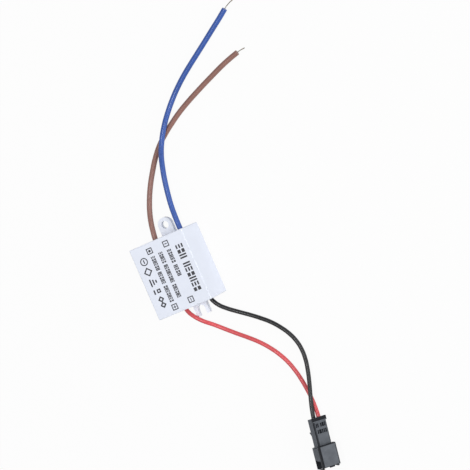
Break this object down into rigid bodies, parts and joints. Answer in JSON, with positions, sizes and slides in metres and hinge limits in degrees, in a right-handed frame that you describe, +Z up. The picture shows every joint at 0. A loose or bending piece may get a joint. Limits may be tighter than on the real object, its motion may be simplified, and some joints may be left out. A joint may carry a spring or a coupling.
{
  "type": "led driver",
  "caption": "LED driver: a white snap-together plastic box with fixing ears, bare-ended mains leads at one end and output leads with a small latching connector at the other.",
  "frame": {"origin": "centre of the housing's underside, on the surface that it stands on", "axes": "+X across the label face, +Y along the housing towards the mains leads, +Z up out of the label face"},
  "size_m": [0.0837, 0.2033, 0.02],
  "materials": {
    "cover_plastic": "moulded satin ABS with black pad print",
    "laminate": "paper laminate with copper underneath",
    "resistor_coat": "cement coating",
    "epoxy_black": "moulded epoxy",
    "sleeve": "shrink sleeve over an aluminium can",
    "ferrite": "sintered ferrite",
    "bobbin_plastic": "moulded phenolic",
    "tape": "yellow polyester tape over enamelled wire",
    "disc_blue": "dipped epoxy",
    "solder": "bright tin",
    "tinned_copper": "tinned strands",
    "brown_pvc": "soft PVC insulation",
    "blue_pvc": "soft PVC insulation",
    "red_pvc": "soft PVC insulation",
    "black_pvc": "soft PVC insulation",
    "connector_plastic": "moulded dark grey nylon",
    "contact_metal": "tin-plated brass"
  },
  "bodies": {
    "root": {"top_cover": "cover_plastic", "base_plate": "cover_plastic", "pcb": "laminate", "fusible_resistor": "resistor_coat", "bridge_rectifier": "epoxy_black", "input_capacitor": "sleeve", "supply_capacitor": "sleeve", "core_half_mains": "ferrite", "core_half_output": "ferrite", "transformer_bobbin": "bobbin_plastic", "transformer_winding": "tape", "transformer_pins": "tinned_copper", "driver_ic": "epoxy_black", "snubber_diode": "epoxy_black", "chip_resistors": "epoxy_black", "output_diode": "epoxy_black", "output_capacitor": "sleeve", "interference_capacitor": "disc_blue", "solder_joints": "solder", "brown_wire": "brown_pvc", "blue_wire": "blue_pvc", "red_wire": "red_pvc", "black_wire": "black_pvc", "brown_conductor": "tinned_copper", "blue_conductor": "tinned_copper", "red_conductor": "tinned_copper", "black_conductor": "tinned_copper", "connector_housing": "connector_plastic", "contact_red": "contact_metal", "contact_black": "contact_metal"}
  },
  "joints": []
}
